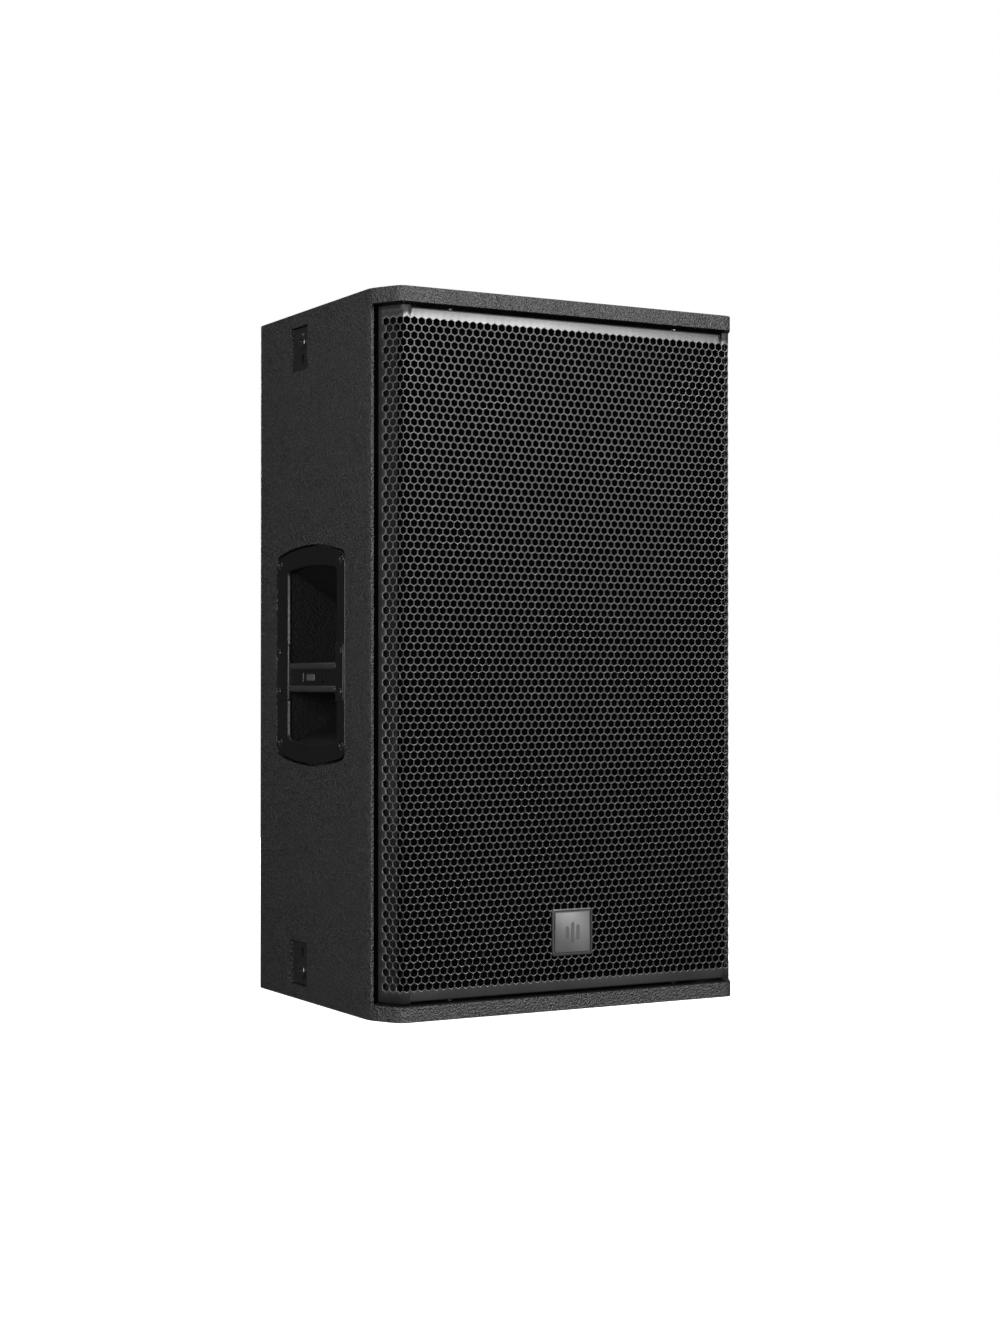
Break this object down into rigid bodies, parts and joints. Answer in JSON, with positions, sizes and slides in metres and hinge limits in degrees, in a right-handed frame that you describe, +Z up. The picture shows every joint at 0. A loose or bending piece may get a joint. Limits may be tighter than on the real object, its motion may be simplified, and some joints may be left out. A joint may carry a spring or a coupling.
{
  "type": "stage monitor loudspeaker",
  "caption": "Upright two-way stage loudspeaker with a full perforated front, side grip handles, rigging points and angled rear faces for use as a floor monitor.",
  "frame": {"origin": "centre of the footprint, on the floor", "axes": "+Z up; the grille faces -Y and the amplifier plate faces +Y; +X is to the right seen from the front"},
  "size_m": [0.4172, 0.4, 0.705],
  "materials": {
    "textured_paint": "black hard textured coating on birch plywood, fine orange-peel grain",
    "painted_plywood": "black painted plywood",
    "grille_steel": "powder-coated perforated steel, satin black",
    "acoustic_foam": "open-cell black foam",
    "black_screw": "black zinc",
    "badge_plate": "satin dark grey",
    "cast_basket": "powder-coated die casting",
    "surround_cloth": "treated cloth",
    "cone_paper": "coated paper pulp",
    "voice_coil_copper": "enamelled copper-clad wire",
    "spider_cloth": "resin-treated cloth",
    "plated_steel": "zinc plated, satin",
    "ferrite": "matt ceramic ferrite",
    "titanium_foil": "thin formed foil",
    "horn_plastic": "moulded black ABS",
    "handle_casting": "die casting, satin black powder coat",
    "cup_plastic": "moulded black plastic, matt",
    "nameplate": "satin black, blank",
    "rigging_steel": "black plated steel",
    "amplifier_aluminium": "black anodised, fine grain",
    "circuit_board": "green solder resist",
    "nickel": "satin nickel die casting",
    "power_in_plastic": "blue moulded plastic",
    "connector_plastic": "black moulded plastic",
    "status_lens": "green lens"
  },
  "bodies": {
    "cabinet": {"top_panel": "textured_paint", "bottom_panel": "textured_paint", "left_side_panel": "textured_paint", "right_side_panel": "textured_paint", "left_rear_facet_panel": "textured_paint", "right_rear_facet_panel": "textured_paint", "rear_panel": "textured_paint", "front_baffle": "painted_plywood", "grille": "grille_steel", "grille_foam": "acoustic_foam", "grille_screw_top_left": "black_screw", "grille_screw_top_right": "black_screw", "grille_screw_bottom_left": "black_screw", "grille_screw_bottom_right": "black_screw", "front_badge": "badge_plate", "woofer_basket": "cast_basket", "woofer_surround": "surround_cloth", "woofer_spider": "spider_cloth", "woofer_top_plate": "plated_steel", "woofer_pole_piece": "plated_steel", "hf_driver_housing": "plated_steel", "woofer_magnet": "ferrite", "horn": "horn_plastic", "hf_rear_cap": "horn_plastic", "left_reflex_port": "horn_plastic", "right_reflex_port": "horn_plastic", "left_handle_frame": "handle_casting", "right_handle_frame": "handle_casting", "left_handle_cup": "cup_plastic", "right_handle_cup": "cup_plastic", "left_handle_nameplate": "nameplate", "right_handle_nameplate": "nameplate", "left_top_rigging_plate": "rigging_steel", "left_top_rigging_bolt": "rigging_steel", "left_bottom_rigging_plate": "rigging_steel", "left_bottom_rigging_bolt": "rigging_steel", "right_top_rigging_plate": "rigging_steel", "right_top_rigging_bolt": "rigging_steel", "right_bottom_rigging_plate": "rigging_steel", "right_bottom_rigging_bolt": "rigging_steel", "pole_socket": "rigging_steel", "amplifier_plate": "amplifier_aluminium", "heat_sink": "amplifier_aluminium", "amplifier_board": "circuit_board", "power_supply_board": "circuit_board", "input_socket": "nickel", "link_socket": "nickel", "power_inlet": "power_in_plastic", "power_outlet": "connector_plastic", "power_rocker_housing": "connector_plastic", "status_light": "status_lens"},
    "woofer_cone_group": {"woofer_cone": "cone_paper", "woofer_dust_cap": "cone_paper", "woofer_voice_coil": "voice_coil_copper"},
    "hf_diaphragm_group": {"hf_diaphragm": "titanium_foil"},
    "input_latch_tab": {"input_latch": "nickel"},
    "level_knob_group": {"level_knob": "connector_plastic"},
    "preset_button_cap": {"preset_button": "connector_plastic"},
    "power_rocker_cap": {"power_rocker": "connector_plastic"}
  },
  "joints": [
    {"name": "woofer_cone_travel", "type": "slide", "parent": "cabinet", "child": "woofer_cone_group", "axis": [0, -1, 0], "range_m": [-0.008, 0.008], "stiffness_N_per_m": 3000, "deforming": ["woofer_surround", "woofer_spider"]},
    {"name": "hf_diaphragm_travel", "type": "slide", "parent": "cabinet", "child": "hf_diaphragm_group", "axis": [0, -1, 0], "range_m": [-0.0004, 0.0004], "stiffness_N_per_m": 500},
    {"name": "input_latch_push", "type": "slide", "parent": "cabinet", "child": "input_latch_tab", "axis": [0, -1, 0], "range_m": [0, 0.0012], "stiffness_N_per_m": 300},
    {"name": "level_knob_turn", "type": "hinge", "parent": "cabinet", "child": "level_knob_group", "pos_m": [-0.055, 0.1733, 0.275], "axis": [0, -1, 0], "range_deg": [-150, 150]},
    {"name": "preset_button_push", "type": "slide", "parent": "cabinet", "child": "preset_button_cap", "axis": [0, -1, 0], "range_m": [0, 0.0015], "stiffness_N_per_m": 300},
    {"name": "power_rocker_tip", "type": "hinge", "parent": "cabinet", "child": "power_rocker_cap", "pos_m": [0.055, 0.1733, 0.19], "axis": [1, 0, 0], "range_deg": [-7, 7]}
  ]
}
